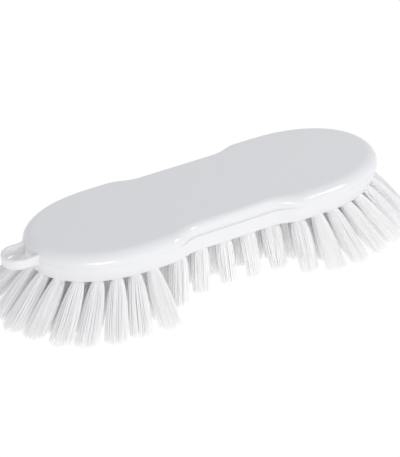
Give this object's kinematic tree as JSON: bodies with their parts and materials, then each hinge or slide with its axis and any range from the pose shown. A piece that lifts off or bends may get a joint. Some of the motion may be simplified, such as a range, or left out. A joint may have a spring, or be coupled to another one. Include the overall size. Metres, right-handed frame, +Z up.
{
  "type": "scrub brush",
  "caption": "Hand scrub brush with a waisted moulded block, a hanging loop at one end, and rows of bristle tufts that fan out past both ends.",
  "frame": {"origin": "on the floor, under the middle of the block; the brush stands on its bristle tips", "axes": "+X along the brush, away from the hanging loop; +Y across it; +Z up, out of the block's flat back"},
  "size_m": [0.2408, 0.102, 0.04],
  "materials": {
    "moulding": "glossy white moulded plastic",
    "bristle": "white drawn filament, satin",
    "anchor_wire": "drawn flat wire"
  },
  "bodies": {
    "root": {"block": "moulding", "hanging_loop": "moulding", "anchors": "anchor_wire", "edge_tuft_01": "bristle", "edge_tuft_02": "bristle", "edge_tuft_03": "bristle", "edge_tuft_04": "bristle", "edge_tuft_05": "bristle", "edge_tuft_06": "bristle", "edge_tuft_07": "bristle", "edge_tuft_08": "bristle", "edge_tuft_09": "bristle", "edge_tuft_10": "bristle", "edge_tuft_11": "bristle", "edge_tuft_12": "bristle", "edge_tuft_13": "bristle", "edge_tuft_14": "bristle", "edge_tuft_15": "bristle", "edge_tuft_16": "bristle", "edge_tuft_17": "bristle", "edge_tuft_18": "bristle", "edge_tuft_19": "bristle", "edge_tuft_20": "bristle", "edge_tuft_21": "bristle", "edge_tuft_22": "bristle", "edge_tuft_23": "bristle", "edge_tuft_24": "bristle", "edge_tuft_25": "bristle", "edge_tuft_26": "bristle", "edge_tuft_27": "bristle", "edge_tuft_28": "bristle", "edge_tuft_29": "bristle", "edge_tuft_30": "bristle", "edge_tuft_31": "bristle", "edge_tuft_32": "bristle", "edge_tuft_33": "bristle", "edge_tuft_34": "bristle", "edge_tuft_35": "bristle", "edge_tuft_36": "bristle", "edge_tuft_37": "bristle", "edge_tuft_38": "bristle", "edge_tuft_39": "bristle", "edge_tuft_40": "bristle", "waist_row_near": "bristle", "waist_row_middle": "bristle", "waist_row_far": "bristle", "loop_lobe_ring": "bristle", "loop_lobe_core": "bristle", "front_lobe_ring": "bristle", "front_lobe_core": "bristle"}
  },
  "joints": []
}
